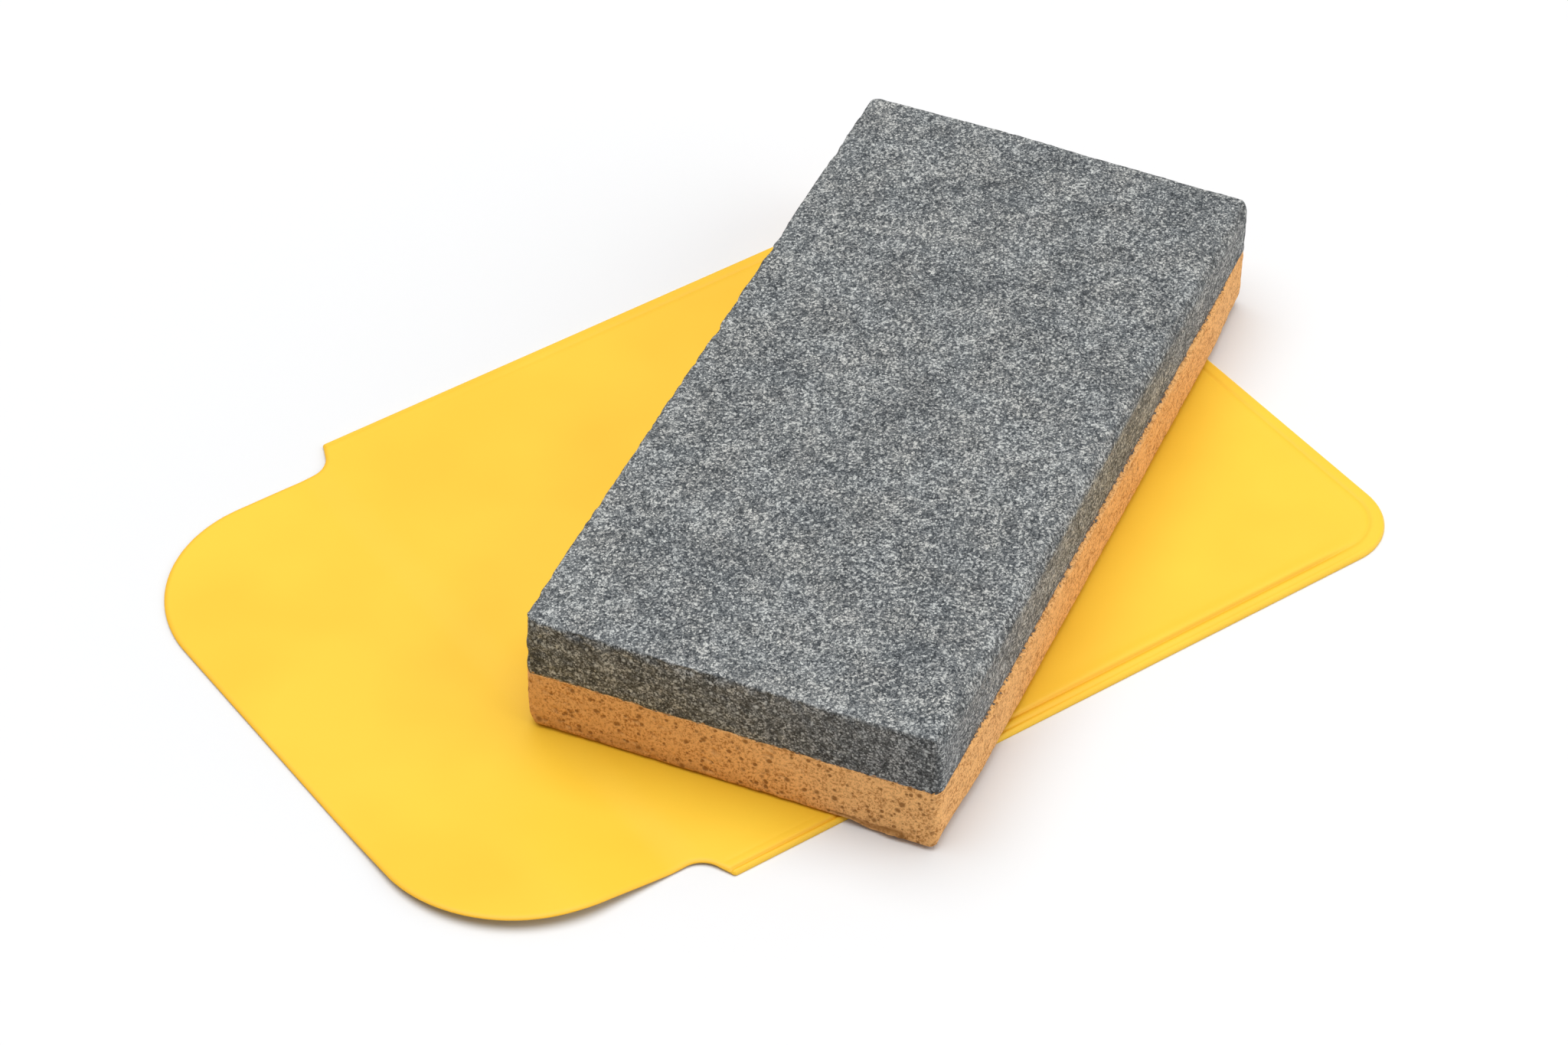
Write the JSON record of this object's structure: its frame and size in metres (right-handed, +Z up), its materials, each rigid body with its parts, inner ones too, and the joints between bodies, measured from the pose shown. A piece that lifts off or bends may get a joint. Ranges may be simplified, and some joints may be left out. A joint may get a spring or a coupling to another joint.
{
  "type": "two-grit sharpening stone with sleeve",
  "caption": "Rectangular two-grit sharpening stone, dark coarse layer over orange fine layer, lying on its flat yellow vinyl slip sleeve with a tuck flap.",
  "frame": {"origin": "centre of the sleeve's outline, on the surface that the sleeve lies on", "axes": "+X along the sleeve towards its closed end, with the flap at -X; +Z up"},
  "size_m": [0.1071, 0.074, 0.0131],
  "materials": {
    "coarse_grit": "matte",
    "fine_grit": "matte",
    "yellow_vinyl": "satin"
  },
  "bodies": {
    "sleeve": {"sleeve_front_panel": "yellow_vinyl", "sleeve_back_panel": "yellow_vinyl", "near_side_weld": "yellow_vinyl", "far_side_weld": "yellow_vinyl", "closed_end_weld": "yellow_vinyl"},
    "flap": {"tuck_flap": "yellow_vinyl"},
    "stone": {"fine_grit_layer": "fine_grit", "coarse_grit_layer": "coarse_grit"}
  },
  "joints": [
    {"name": "flap_fold", "type": "hinge", "parent": "sleeve", "child": "flap", "pos_m": [-0.0297, 0, 0.00005], "axis": [0, -1, 0], "range_deg": [0, 178]},
    {"name": "stone_lift", "type": "slide", "parent": "sleeve", "child": "stone", "axis": [0, 0, 1], "range_m": [0, 0.06]}
  ]
}
